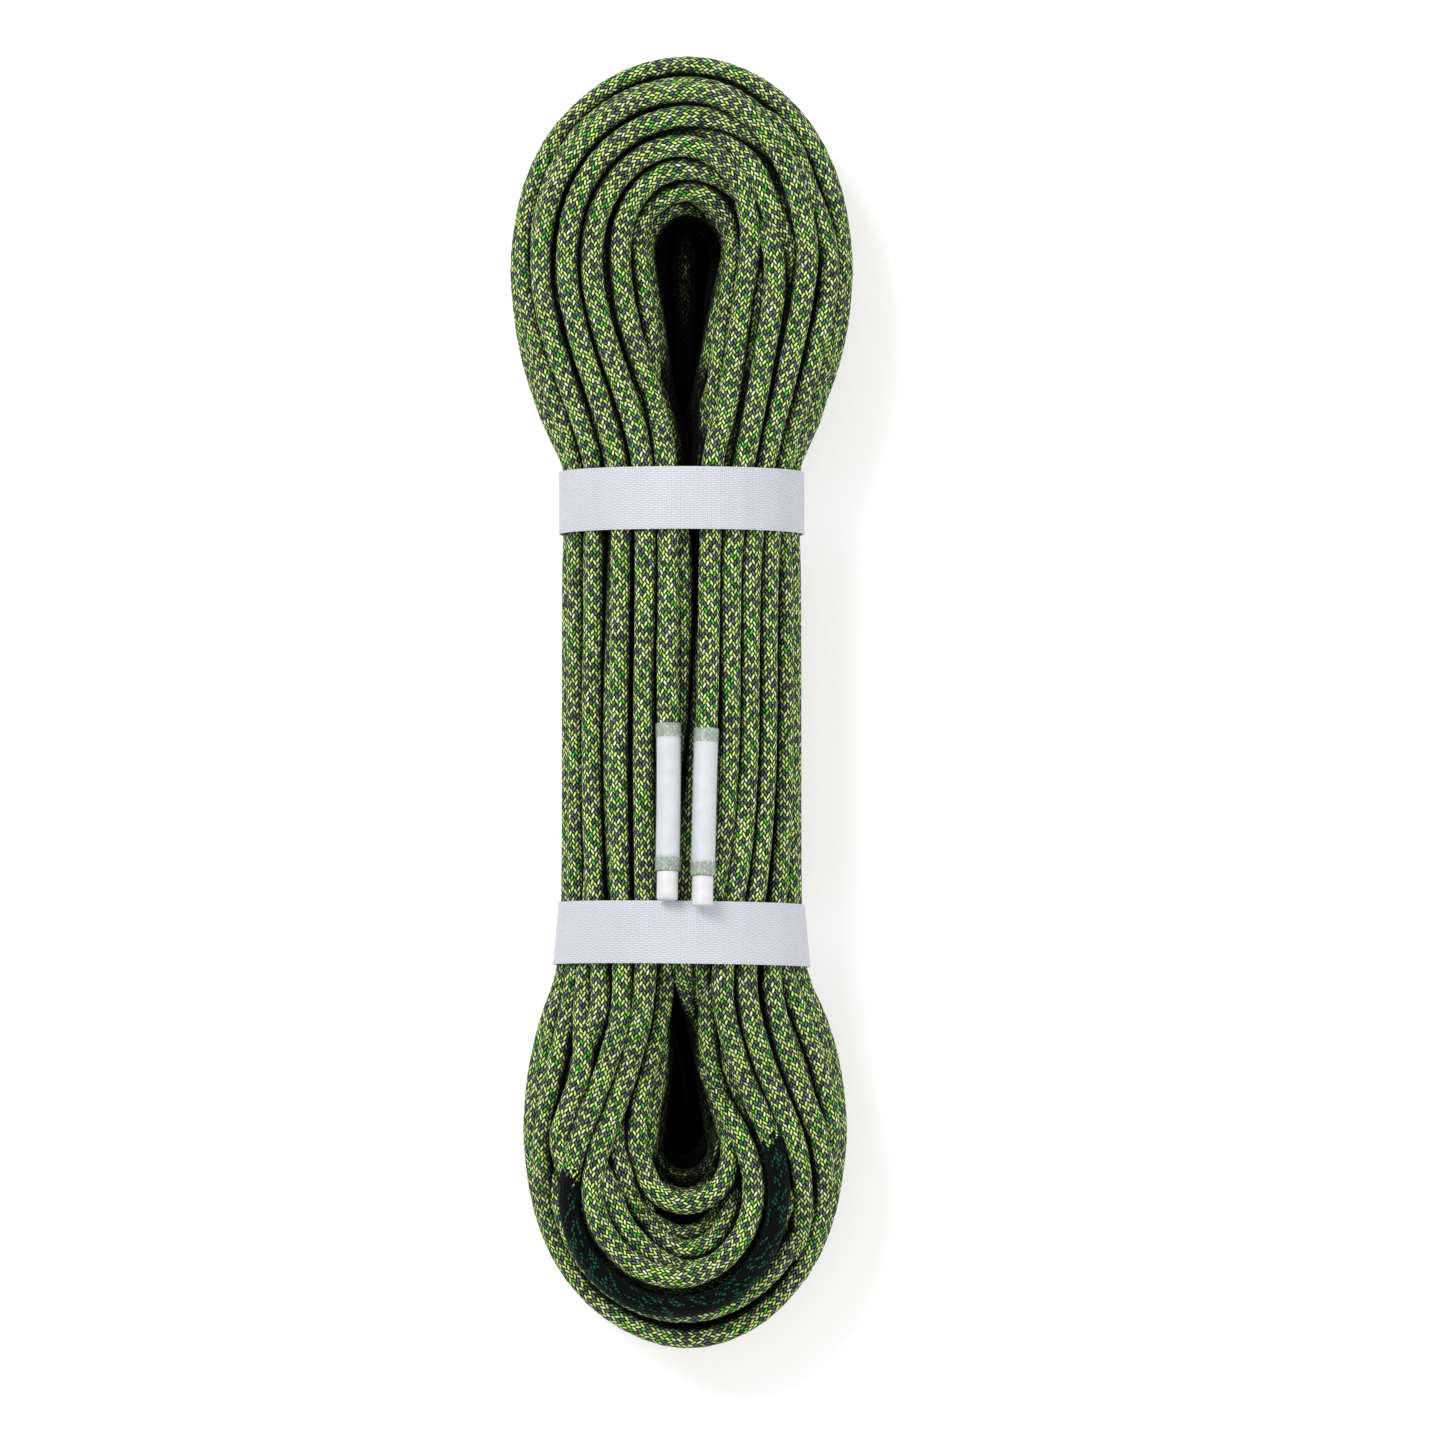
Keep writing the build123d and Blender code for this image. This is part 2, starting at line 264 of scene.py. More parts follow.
def slowNoise(count):
    # loose turns wander a little, slowly along the cord
    draw = np.random.default_rng(packing["seed"])
    stride = packing["wanderStride"]
    knots = np.arange(0, count + 2 * stride, stride)
    every = np.arange(count)
    return np.stack([np.interp(every, knots, draw.normal(0, packing[size], len(knots)))
                     for size in ("wanderAcross", "wanderDeep")], 1)


def windCord():
    # every place where a pass of the cord crosses a station, from the left end to the right one
    last = cord["passes"] - 1
    order = []
    for turn in range(cord["passes"]):
        for s, station in enumerate(stations):
            if (turn == 0 and s == 0) or (turn == last and s >= len(topHalf) - 1):
                continue
            step = (turn, s)
            if (halfOf(s), turn) in rearTurns and not station["row"].startswith("waist"):
                step = (halfOf(s), turn)
                if order[-1] == step:
                    continue
            order.append(step)
    return order


# the crossings that are packed, the station of each, and every station's section as arrays
order = windCord()
chain = [step for step in order if step not in rearTurns]
at = np.array([s for _, s in chain])
innerEnds, waysOut, spans, leans, lows, highs = (np.array(x) for x in zip(*map(sectionOf, stations)))
powers = np.where(leans > packing["squareFrom"], packing["squareLoop"], packing["roundWaist"])


def steered():
    # where the turns in front cross the stations: their numbers in the chain, and their places there
    numbers, places = [], []
    for n, (turn, s) in enumerate(chain):
        found = (halfOf(s), turn) in frontTurns and crossing(s, frontTurns[halfOf(s), turn])
        if found:
            away, depth = found
            reachIn = spans[s] * leans[s]
            reach = max((spans[s] - reachIn if away > reachIn else reachIn) - cordRadius, cordRadius)
            bow = max(1 - (abs(away - reachIn) / reach) ** powers[s], 0.1) ** (1 / powers[s])
            middle, half = (lows[s] + highs[s]) / 2, (highs[s] - lows[s]) / 2
            numbers.append(n)
            places.append((away, middle + (half - cordRadius) * bow - depth))
    return np.array(numbers), np.array(places)


def rowGroups(isHeld):
    # the crossings at each height of the hank, from both legs, and where fixed turns pass there
    rows = [station["row"] or str(n) for n, station in enumerate(stations)]
    groups = []
    for row in dict.fromkeys(rows):
        here = [n for n, name in enumerate(rows) if name == row]
        mated = len(here) == 2
        fixed = []
        if row.startswith("waist") or row == "top0":
            height = min(stations[here[0]]["inner"][1], leftRoute[0][1])
            fixed += [routeAt(route, height) for route in (leftRoute, rightRoute)]
        for half, turn in rearTurns:
            for n in here:
                found = half == halfOf(n) and crossing(n, rearTurns[half, turn])
                if found:
                    away, z = found
                    fixed.append((innerEnds[n, 0] + waysOut[n, 0] * away, z) if mated else (away, z))
        group = np.nonzero(np.isin(at, here))[0]
        groups.append((group, mated, np.array(fixed).reshape(-1, 2), isHeld[group]))
    return groups


def lineThrough(spots):
    return np.column_stack([innerEnds[at] + waysOut[at] * spots[:, :1], spots[:, 1]])


def straighten(spots):
    # the cord is stiff: where it would bend too sharply it springs back
    line = lineThrough(spots)
    back, ahead, chord = line[1:-1] - line[:-2], line[2:] - line[1:-1], line[2:] - line[:-2]
    way = chord / np.linalg.norm(chord, axis=1, keepdims=True)
    off = line[:-2] + way * (back * way).sum(1)[:, None] - line[1:-1]
    shorter = np.minimum(np.linalg.norm(back, axis=1), np.linalg.norm(ahead, axis=1))
    radius = shorter ** 2 / np.maximum(2 * np.linalg.norm(off, axis=1), 1e-6)
    give = packing["springBack"] * np.clip(packing["tightest"] / radius - 1, 0, 1)[:, None]
    spots[1:-1] += give * np.column_stack([(off[:, :2] * waysOut[at][1:-1]).sum(1), off[:, 2]])


def keepInside(spots):
    # turns bulge out of a loop a little, and at the waist they may pass its middle a little
    away, z = spots[:, 0], spots[:, 1]
    spare = np.where(leans[at] > packing["slackFrom"], packing["loopSlack"], 0.0)
    reachIn, middle = spans[at] * leans[at], (lows[at] + highs[at]) / 2
    halfHeight = (highs[at] - lows[at]) / 2 - cordRadius + spare
    pastMiddle = (reachIn < 1e-3) & (away < 0)
    off = np.where(pastMiddle, 0.0, away - reachIn)
    reachBack = np.maximum(reachIn - cordRadius + spare, 1e-3)
    reach = np.where(off > 0, spans[at] - reachIn - cordRadius + spare, reachBack)
    power = powers[at]
    rho = (np.abs(off / reach) ** power + np.abs((z - middle) / halfHeight) ** power) ** (1 / power)
    shrink = 1 / np.maximum(rho, 1.0)
    away = np.where(pastMiddle, np.maximum(away, -packing["overMiddle"]), reachIn + off * shrink)
    return np.stack([away, np.maximum(middle + (z - middle) * shrink, cordRadius)], 1)


def pushApart(spots, group, mated, fixed, isHeld):
    # turns that lie too close push each other, and the fixed ones push them too
    sign = waysOut[at[group], 0] if mated else 1.0
    start = innerEnds[at[group], 0] if mated else 0.0
    mine = np.stack([start + sign * spots[group, 0], spots[group, 1]], 1)
    apart = mine[:, None] - np.vstack([mine, fixed])[None]
    gap = np.sqrt((apart ** 2).sum(2)) + 1e-9
    np.fill_diagonal(gap, math.inf)
    push = np.clip(packing["spacing"] - gap, 0, None)
    push[:, :len(group)][:, ~isHeld] /= 2
    # under a turn in front the others go down
    apart[:, :len(group), 1][:, isHeld] -= np.where(isHeld, 0.0, packing["goUnder"])[:, None]
    way = apart / np.maximum(np.sqrt((apart ** 2).sum(2)), 1e-6)[..., None]
    move = (way * push[..., None]).sum(1)
    size = np.linalg.norm(move, axis=1, keepdims=True)
    move *= np.minimum(1, packing["longestMove"] / np.maximum(size, 1e-9))
    spots[group] += np.stack([move[:, 0] * sign, move[:, 1]], 1)


def packTurns():
    # each pass starts in its own cell or on its own route, and then the turns push one another apart
    cells = dict(top=cellsOf(packing["topCells"]), bottom=cellsOf(packing["bottomCells"]))
    spots = np.array([placeCell(cells[halfOf(s)][turn], stations[s]) for turn, s in chain])
    held, heldAt = steered()
    spots[held] = heldAt
    isHeld = np.zeros(len(spots), bool)
    isHeld[held] = True
    groups = rowGroups(isHeld)
    wanted = spots + slowNoise(len(spots))
    for step in range(packing["rounds"]):
        left = 1 - step / packing["rounds"]
        smooth = spots.copy()
        smooth[1:-1] = (spots[:-2] + spots[2:]) / 2
        calm = packing["calmFirst"] * left ** 1.5 + packing["calmAlways"]
        home = packing["homeFirst"] * left ** 2
        spots += calm * (smooth - spots) + home * (wanted - spots)
        for _ in range(packing["pushesEach"]):
            straighten(spots)
            for group in groups:
                pushApart(spots, *group)
            spots = keepInside(spots)
            spots[held] += packing["keepRoute"] * (heldAt - spots[held])
    for _ in range(packing["settling"]):
        straighten(spots)
        spots = keepInside(spots)
    return dict(zip(chain, lineThrough(spots)))


def wholeRoute(placed):
    # every control point of the cord, and the number of the one that bears the middle mark
    points = []
    for step in order:
        if step == (cord["markedPass"], bottomCrest):
            markPoint = len(points) + len(leftRoute) + 1
        points += rearTurns[step] if step in rearTurns else [tuple(placed[step])]
    start, end = ([(x, y, z + hank["high"]) for x, y, z in stretch]
                  for stretch in (leftRoute[::-1] + [leftDive], [rightDive] + rightRoute))
    return np.array(start + points + end) * mm, markPoint


route, markPoint = wholeRoute(packTurns())
print("turns packed:", len(route), "control points")


def addObject(name, data):
    obj = bpy.data.objects.new(name, data)
    scene.collection.objects.link(obj)
    return obj


def splineThrough(name, points):
    data = bpy.data.curves.new(name, "CURVE")
    data.dimensions = "3D"
    data.resolution_u = cord["curveSteps"]
    line = data.splines.new("NURBS")
    line.points.add(len(points) - 1)
    line.points.foreach_set("co", np.column_stack([points, np.ones(len(points))]).ravel())
    line.order_u = 3
    line.use_endpoint_u = True
    return addObject(name, data)


def pointsOn(obj):
    # the line that the spline draws
    bpy.context.view_layer.update()
    mesh = bpy.data.meshes.new_from_object(obj)
    points = np.empty(len(mesh.vertices) * 3)
    mesh.vertices.foreach_get("co", points)
    bpy.data.meshes.remove(mesh)
    return points.reshape(-1, 3)


def framesAlong(points):
    # tangents, and a normal that turns as little as it can
    tangent = np.gradient(points, axis=0)
    tangent /= np.linalg.norm(tangent, axis=1, keepdims=True)
    normal = np.empty_like(points)
    n = np.cross(tangent[0], (1.0, 0.0, 0.0))
    for i, t in enumerate(tangent):
        n = n - t * n.dot(t)
        n = n / np.linalg.norm(n)
        normal[i] = n
    return tangent, normal, np.cross(tangent, normal)


def alongLine(points):
    # how far along the line each of its points lies
    return np.concatenate([[0], np.cumsum(np.linalg.norm(np.diff(points, axis=0), axis=1))])


def spotsOn(points, distances):
    # the places at these distances along the line
    gone = alongLine(points)
    return np.stack([np.interp(distances, gone, points[:, axis]) for axis in range(3)], 1)


def tubeAlong(name, points, radii, sides, material, capped=True):
    # a tube of rings, whose UV map is its share round and its length along
    tangent, normal, side = framesAlong(points)
    radii = np.broadcast_to(radii, len(points))
    turn = np.arange(sides) / sides * 2 * math.pi
    ring = np.cos(turn)[None, :, None] * normal[:, None] + np.sin(turn)[None, :, None] * side[:, None]
    vertices = (points[:, None] + ring * radii[:, None, None]).reshape(-1, 3)
    rows, columns = np.meshgrid(np.arange(len(points) - 1), np.arange(sides), indexing="ij")
    after = (columns + 1) % sides
    faces = np.stack([rows * sides + columns, rows * sides + after,
                      (rows + 1) * sides + after, (rows + 1) * sides + columns], -1).reshape(-1, 4)
    along = alongLine(points)
    mesh = bpy.data.meshes.new(name)
    faceList = faces.tolist()
    if capped:
        faceList += [list(range(sides))[::-1], [len(vertices) - sides + n for n in range(sides)]]
    mesh.from_pydata(vertices.tolist(), [], faceList)
    uv = np.zeros((len(mesh.loops), 2))
    around = np.stack([columns, columns + 1, columns + 1, columns], -1).reshape(-1) / sides
    length = np.stack([along[rows], along[rows], along[rows + 1], along[rows + 1]], -1).reshape(-1)
    uv[:len(around)] = np.stack([around, length], 1)
    mesh.uv_layers.new(name="UVMap").data.foreach_set("uv", uv.ravel())
    mesh.materials.append(material)
    mesh.shade_smooth()
    return addObject(name, mesh)


class Nodes:
    # short words for a material's nodes
    def __init__(self, name):
        self.material = bpy.data.materials.new(name)
        self.material.use_nodes = True
        self.tree = self.material.node_tree
        self.shader = self.tree.nodes["Principled BSDF"]

    def new(self, kind):
        return self.tree.nodes.new("ShaderNode" + kind)

    def put(self, socket, value):
        if isinstance(value, bpy.types.NodeSocket):
            self.tree.links.new(value, socket)
        else:
            socket.default_value = value

    def math(self, operation, a, b=0.0, c=0.0):
        node = self.new("Math")
        node.operation = operation
        for socket, value in zip(node.inputs, (a, b, c)):
            self.put(socket, value)
        return node.outputs[0]

    def times(self, a, b):
        return self.math("MULTIPLY", a, b)

    def plus(self, a, b):
        return self.math("ADD", a, b)

    def minus(self, a, b):
        return self.math("SUBTRACT", a, b)

    def power(self, a, b):
        return self.math("POWER", a, b)

    def coords(self, output="Object"):
        return self.new("TexCoord").outputs[output]

    def attribute(self, name):
        node = self.new("Attribute")
        node.attribute_name = name
        return node.outputs["Fac"]

    def split(self, vector):
        node = self.new("SeparateXYZ")
        self.put(node.inputs[0], vector)
        return node.outputs

    def join(self, x, y, z=0.0):
        node = self.new("CombineXYZ")
        for socket, value in zip(node.inputs, (x, y, z)):
            self.put(socket, value)
        return node.outputs[0]

    def noise(self, vector, scale, detail=2.0, roughness=0.5):
        node = self.new("TexNoise")
        self.put(node.inputs["Vector"], vector)
        for socket, value in (("Scale", scale), ("Detail", detail), ("Roughness", roughness)):
            self.put(node.inputs[socket], value)
        return node.outputs[0]

    def ramp(self, value, stops, interpolation="LINEAR"):
        node = self.new("ValToRGB")
        node.color_ramp.interpolation = interpolation
        marks = node.color_ramp.elements
        while len(marks) < len(stops):
            marks.new(0.5)
        for mark, (position, color) in zip(marks, stops):
            mark.position = position
            mark.color = (*color, 1.0)
        self.put(node.inputs[0], value)
        return node.outputs[0]

    def tones(self, value, codes):
        # between two colours, over the range that a noise mostly keeps to
        return self.ramp(value, list(zip((0.3, 0.7), (colour(code) for code in codes))))

    def mix(self, share, a, b, blend="MIX"):
        node = self.new("Mix")
        node.data_type = "RGBA"
        node.blend_type = blend
        for socket, value in zip((node.inputs[0], node.inputs[6], node.inputs[7]), (share, a, b)):
            self.put(socket, value if not isinstance(value, tuple) else (*value, 1.0))
        return node.outputs[2]

    def bump(self, height, distance):
        # the distance is in mm
        node = self.new("Bump")
        node.inputs["Distance"].default_value = distance * mm
        self.put(node.inputs["Height"], height)
        self.put(self.shader.inputs["Normal"], node.outputs[0])

    def finish(self, **sockets):
        for name, value in sockets.items():
            self.put(self.shader.inputs[name.replace("_", " ")], value)
        return self.material


def colour(code):
    # a written colour, as the shader wants it
    parts = [int(code[n:n + 2], 16) / 255 for n in (0, 2, 4)]
    return tuple(c / 12.92 if c <= 0.04045 else ((c + 0.055) / 1.055) ** 2.4 for c in parts)


# the braid: sizes (mm), colours, the order of the yarns round the cord, its painted highlights, and how dark
# the painted shade makes each place
braid = dict(yarns=20, pick=0.62, twist=3.0, sYarns="lslplsgllsplslllpsls", zYarns="slsglplsglllslssplsl",
             lime="D4FF7E", paleLime="F0FFC2", green="48B83C", deepGreen="2C9C30", slate="5B5D68",
             darkSlate="15141A", gap="020302", mark="05080B", markGreen="10422B", markLength=93.0,
             markFringe=4.0, markPlain=0.72, tuck=0.7, relief=0.35, fineRelief=0.12, filaments=9.0,
             filamentRun=1.2, filament=0.25, shaded=0.7, edging=0.6, crownHighlight=0.95, gapShadeReach=2.0,
             gapShadePower=1.5, roughness=0.85, crownShine=0.2, creviceShade=0.93, nearFrom=0.42, nearTo=0.78,
             wideFrom=0.40, wideTo=0.56, deepFrom=0.01, deepTo=0.09)
# the room round the cord, and where it is looked at from each place, for the painted shade (mm, but the blurs
# in cells)
room = dict(cell=1.5, margin=12.0, stride=1.0, grain=1.1, nearReach=2.0, nearBlur=1,
            wideReach=6.5, wideBlur=4, deepReach=16.0, deepBlur=3)


def crowdingForShade(points, surface, normals):
    # how full of cord the room is close in front of each place, further out, and over the floor of an eye;
    # the braid paints shade from these
    step = room["cell"] * mm
    low = points.min(0) - room["margin"] * mm
    size = np.ceil((points.max(0) + room["margin"] * mm - low) / step).astype(int)
    line = spotsOn(points, np.arange(0, alongLine(points)[-1], room["stride"] * mm))
    full = np.zeros(size)
    around = np.stack(np.meshgrid(*[np.arange(-2, 3) * room["grain"] * mm] * 3), -1).reshape(-1, 3)
    for off in around[(around ** 2).sum(1) < (cordRadius * mm) ** 2]:
        full[tuple(((line + off - low) / step).astype(int).T)] = 1

    def blurred(blur):
        # a box blur along each axis, twice
        soft = full
        for axis in (0, 1, 2) * 2:
            count, width = soft.shape[axis], 2 * blur + 1
            empty = np.zeros_like(soft.take([0] * width, axis))
            summed = np.cumsum(np.concatenate([empty, soft], axis), axis)
            soft = summed.take(np.arange(width, count + width), axis) - summed.take(np.arange(count), axis)
            soft /= width
            soft = np.roll(soft, -blur, axis)
        return soft

    def seenFrom(soft, way, reach):
        place = ((surface + way * reach * mm - low) / step).astype(int)
        return soft[tuple(np.clip(place, 0, size - 1).T)]

    near = seenFrom(blurred(room["nearBlur"]), normals, room["nearReach"])
    wide = seenFrom(blurred(room["wideBlur"]), normals, room["wideReach"])
    deepRoom = blurred(room["deepBlur"])
    deep = [seenFrom(deepRoom, way, room["deepReach"]) for way in (normals, np.array((0.0, 0.0, 1.0)))]
    return near, wide, np.minimum(*deep)


def carriers(letters):
    # the yarns' colours, one letter for each place round the cord
    tints = dict(l="lime", p="paleLime", g="green", s="slate")
    return [(place / len(letters), colour(braid[tints[letter]])) for place, letter in enumerate(letters)]


def paintCreviceShade(n, color):
    # painted shade: darker where turn lies against turn, and deep in the eyes
    for name in ("near", "wide", "deep"):
        start, end = braid[name + "From"], braid[name + "To"]
        share = n.math("DIVIDE", n.minus(n.attribute(name + "CrowdingShade"), start), end - start)
        share = n.math("MINIMUM", n.math("MAXIMUM", share, 0.0), 1.0)
        color = n.mix(n.times(share, braid["creviceShade"]), color, colour(braid["gap"]))
    return color


def braidMaterial(markAt):
    n = Nodes("braidedSheath")
    u, v, _ = n.split(n.coords("UV"))
    twisted = n.plus(u, n.times(v, braid["twist"]))
    turns = n.times(twisted, braid["yarns"])
    picks = n.times(v, 1 / (2 * braid["pick"] * mm))
    p, q = n.minus(turns, picks), n.plus(turns, picks)
    i, j = n.math("FLOOR", p), n.math("FLOOR", q)
    # which family of yarns lies on top here
    phase = n.math("FLOORED_MODULO", n.plus(i, j), 4.0)
    sOnTop = n.math("LESS_THAN", phase, 1.5)
    inP, inQ = n.minus(p, i), n.minus(q, j)

    def choose(a, b):
        under = n.minus(1.0, sOnTop)
        return n.plus(n.times(sOnTop, a), n.times(under, b))

    across = n.math("ABSOLUTE", n.minus(choose(inP, inQ), 0.5))
    # along a float of two cells, 0 at its first end and 1 at its last
    second = n.math("FLOORED_MODULO", phase, 2.0)
    along = n.math("DIVIDE", n.plus(choose(inQ, inP), second), 2.0)
    toEnds = n.math("ABSOLUTE", n.minus(along, 0.5))
    fromMiddle = n.power(n.times(across, 2.0), 2.0)
    crown = n.math("SQRT", n.math("MAXIMUM", n.minus(1.0, fromMiddle), 0.0))
    tuck = n.minus(1.0, n.power(n.times(toEnds, 2.0), 3.0))
    height = n.times(crown, n.plus(n.times(tuck, braid["tuck"]), 1 - braid["tuck"]))
    yarn = n.math("FLOORED_MODULO", choose(i, j), braid["yarns"])
    # each pick has its own shade
    shade = n.new("TexWhiteNoise")
    shade.noise_dimensions = "3D"
    cell = n.join(i, n.math("FLOOR", n.math("DIVIDE", n.plus(i, j), 4.0)), sOnTop)
    n.put(shade.inputs["Vector"], cell)
    chance = shade.outputs["Value"]
    share = n.math("DIVIDE", n.plus(yarn, 0.5), braid["yarns"])
    color = n.mix(sOnTop, n.ramp(share, carriers(braid["zYarns"]), "CONSTANT"),
                  n.ramp(share, carriers(braid["sYarns"]), "CONSTANT"))
    dark = colour(braid["darkSlate"])
    color = n.mix(n.times(n.power(chance, 2.0), braid["shaded"]), color, dark)
    # the middle mark
    fromMark = n.math("ABSOLUTE", n.minus(v, markAt))
    fringe = n.times(n.minus(chance, 0.5), braid["markFringe"] * mm)
    marked = n.math("LESS_THAN", n.plus(fromMark, fringe), braid["markLength"] * mm / 2)
    stained = n.math("GREATER_THAN", chance, braid["markPlain"])
    markColor = n.mix(stained, colour(braid["mark"]), colour(braid["markGreen"]))
    color = n.mix(marked, color, markColor)
    # fine filaments along each yarn
    filaments = n.join(n.times(choose(p, q), braid["filaments"]), n.times(choose(q, p), braid["filamentRun"]))
    fine = n.noise(filaments, 1.0, 1.0)
    color = n.mix(n.times(fine, braid["filament"]), color, dark, "MULTIPLY")
    # the edges of each pick are in the green shade of its neighbours, and its crown gets a painted highlight
    edgeShare = n.power(n.times(across, 2.0), 3.0)
    edgeColor = n.mix(marked, colour(braid["deepGreen"]), colour(braid["mark"]))
    color = n.mix(n.times(edgeShare, braid["edging"]), color, edgeColor)
    # painted highlight: the crown of each pick is made paler
    color = n.mix(n.times(n.power(height, 3.0), braid["crownHighlight"]), color, color, "SCREEN")
    # painted shade: the low places between the picks turn near black
    sunkShade = n.times(n.minus(1.0, height), braid["gapShadeReach"])
    gapShadeShare = n.power(n.math("SMOOTH_MIN", sunkShade, 1.0, 0.2), braid["gapShadePower"])
    color = n.mix(gapShadeShare, color, colour(braid["gap"]))
    # painted shade in the crevices between turns and deep in the eyes
    color = paintCreviceShade(n, color)
    n.bump(n.plus(height, n.times(fine, braid["fineRelief"])), braid["relief"])
    rough = n.minus(braid["roughness"], n.times(height, braid["crownShine"]))
    return n.finish(Base_Color=color, Roughness=rough, Specular_IOR_Level=0.08,
                    Sheen_Weight=0.02, Sheen_Roughness=0.4)


cordLine = splineThrough("cordLine", route)
cordPoints = pointsOn(cordLine)
cordLength = alongLine(cordPoints)[-1]
markAt = float(alongLine(cordPoints)[markPoint * cord["curveSteps"] - 1])
bpy.data.objects.remove(cordLine)
sheath = braidMaterial(markAt)
rope = tubeAlong("cord", cordPoints, cordRadius * mm, cord["tubeSides"], sheath)
surface, normals = (np.empty((len(rope.data.vertices), 3)) for _ in range(2))
rope.data.vertices.foreach_get("co", surface.ravel())
rope.data.vertices.foreach_get("normal", normals.ravel())
# the crowding round each place on the cord, kept on it for the painted shade
for name, share in zip(("near", "wide", "deep"), crowdingForShade(cordPoints, surface, normals)):
    rope.data.attributes.new(name + "CrowdingShade", "FLOAT", "POINT").data.foreach_set("value", share)
print("cord made: %.2f m, mark at %.2f m, %d points along" % (cordLength, markAt, len(cordPoints)))


# the cord's two ends: label, clear sleeve over it, and sealed tip (mm)
ends = dict(sleeveLength=33.0, sleeveGap=0.16, sleeveWall=0.18, labelLength=27.0, labelInset=3.0,
            labelGap=0.05, labelWall=0.08, tipRadius=2.35, tipBevel=0.3,
            tipLength=dict(left=6.3, right=6.6), sides=32, sleeveTones=("BCCCC4", "D8E1DE"),
            labelTones=("D6D6DE", "E2E2E6"), tipTones=("D0D0D3", "DDDDDF"), yarnTones=("C9C8C2", "F1F0EA"),
            sleeveHaze=0.07, bareHaze=0.2, wrinkleHaze=0.12)
# how fine their textures are, in cells to the metre
fineness = dict(haze=900.0, wrinkle=260.0, fibre=2200.0, cloud=180.0, melt=420.0, grain=3000.0,
                strand=5000.0, alongStrand=300.0)


def alongEnd(points, start, stop, step):
    # evenly spaced places along the cord, from one of its ends
    return spotsOn(points, np.linspace(start, stop, int((stop - start) / step) + 1) * mm)


def modify(obj, kind, **settings):
    bpy.context.view_layer.objects.active = obj
    modifier = obj.modifiers.new(kind, kind)
    for name, value in settings.items():
        setattr(modifier, name, value)
    bpy.ops.object.modifier_apply(modifier=kind)


def sleeveMaterial():
    n = Nodes("clearSleeve")
    spot = n.coords()
    haze = n.noise(spot, fineness["haze"], 3.0)
    wrinkle = n.noise(spot, fineness["wrinkle"])
    n.bump(n.plus(n.times(wrinkle, 0.8), n.times(haze, 0.2)), 0.12)
    # it clings to the label, and turns milky past its ends
    along = n.split(n.coords("UV"))[1]
    first, last = ends["labelInset"] * mm, (ends["labelInset"] + ends["labelLength"]) * mm
    bare = n.plus(n.math("LESS_THAN", along, first), n.math("GREATER_THAN", along, last))
    cloudy = n.plus(ends["sleeveHaze"], n.times(bare, ends["bareHaze"]))
    milky = n.plus(cloudy, n.times(wrinkle, ends["wrinkleHaze"]))
    return n.finish(Base_Color=n.tones(haze, ends["sleeveTones"]), Roughness=0.22, Alpha=milky,
                    Specular_IOR_Level=0.6)


def paperMaterial():
    n = Nodes("labelPaper")
    spot = n.coords()
    fibre = n.noise(spot, fineness["fibre"], 4.0, 0.65)
    cloud = n.noise(spot, fineness["cloud"])
    both = n.plus(n.times(fibre, 0.5), n.times(cloud, 0.5))
    n.bump(fibre, 0.04)
    return n.finish(Base_Color=n.tones(both, ends["labelTones"]), Roughness=0.6, Specular_IOR_Level=0.3)


def tipMaterial():
    n = Nodes("sealedTip")
    spot = n.coords()
    melt = n.noise(spot, fineness["melt"], 3.0, 0.6)
    grain = n.noise(spot, fineness["grain"])
    n.bump(n.plus(melt, n.times(grain, 0.25)), 0.1)
    return n.finish(Base_Color=n.tones(melt, ends["tipTones"]), Roughness=n.plus(0.35, n.times(grain, 0.2)))


def yarnMaterial():
    n = Nodes("coreYarn")
    x, y, z = n.split(n.coords())
    thin, long = fineness["strand"], fineness["alongStrand"]
    strand = n.noise(n.join(n.times(x, thin), n.times(y, long), n.times(z, thin)), 1.0)
    n.bump(strand, 0.08)
    return n.finish(Base_Color=n.tones(strand, ends["yarnTones"]), Roughness=0.75)


sleeveLook, paperLook, tipLook, yarnLook = sleeveMaterial(), paperMaterial(), tipMaterial(), yarnMaterial()
for side, line in (("left", cordPoints[:80]), ("right", cordPoints[::-1][:80])):
    onLabel = alongEnd(line, ends["labelInset"], ends["labelInset"] + ends["labelLength"], 1.0)
    label = tubeAlong(side + "Label", onLabel, (cordRadius + ends["labelGap"]) * mm, ends["sides"],
                      paperLook, capped=False)
    onSleeve = alongEnd(line, 0, ends["sleeveLength"], 0.8)
    sleeve = tubeAlong(side + "Sleeve", onSleeve, (cordRadius + ends["sleeveGap"]) * mm, ends["sides"],
                       sleeveLook, capped=False)
    for piece, wall in ((label, ends["labelWall"]), (sleeve, ends["sleeveWall"])):
        modify(piece, "SOLIDIFY", thickness=wall * mm, offset=1.0, use_even_offset=True)
    heading = line[0] - line[1]
    heading /= np.linalg.norm(heading)
    # the tip bulges a little here and there, and has a bevelled end
    far, bevel = ends["tipLength"][side], ends["tipBevel"]
    reach = np.array([0, 0.2, 1.2, 2.4, 3.6, 4.8, far - bevel, far - 0.08, far])
    cut = bevel / cordRadius
    width = np.array([1, 1, 1.01, 1, 0.995, 1.005, 1, 1 - 0.6 * cut, 1 - cut]) * ends["tipRadius"]
    tip = tubeAlong(side + "Tip", line[0] + reach[:, None] * mm * heading, width * mm, ends["sides"], tipLook)
    for piece, node, slot in ((label, "label", "label_paper"), (sleeve, "sleeve", "clear_sleeve"),
                              (tip, "tip", "sealed_tip")):
        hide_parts(side + "_end_" + node)
        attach(piece, "hank")
for name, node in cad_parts.items():
    if "core_strand" in name:
        node.data.materials.clear()
        node.data.materials.append(yarnLook)
# the cord stands for the hank and for both end sheaths
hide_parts("hank", "left_end_sheath", "right_end_sheath")
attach(rope, "hank")
print("cord ends made")


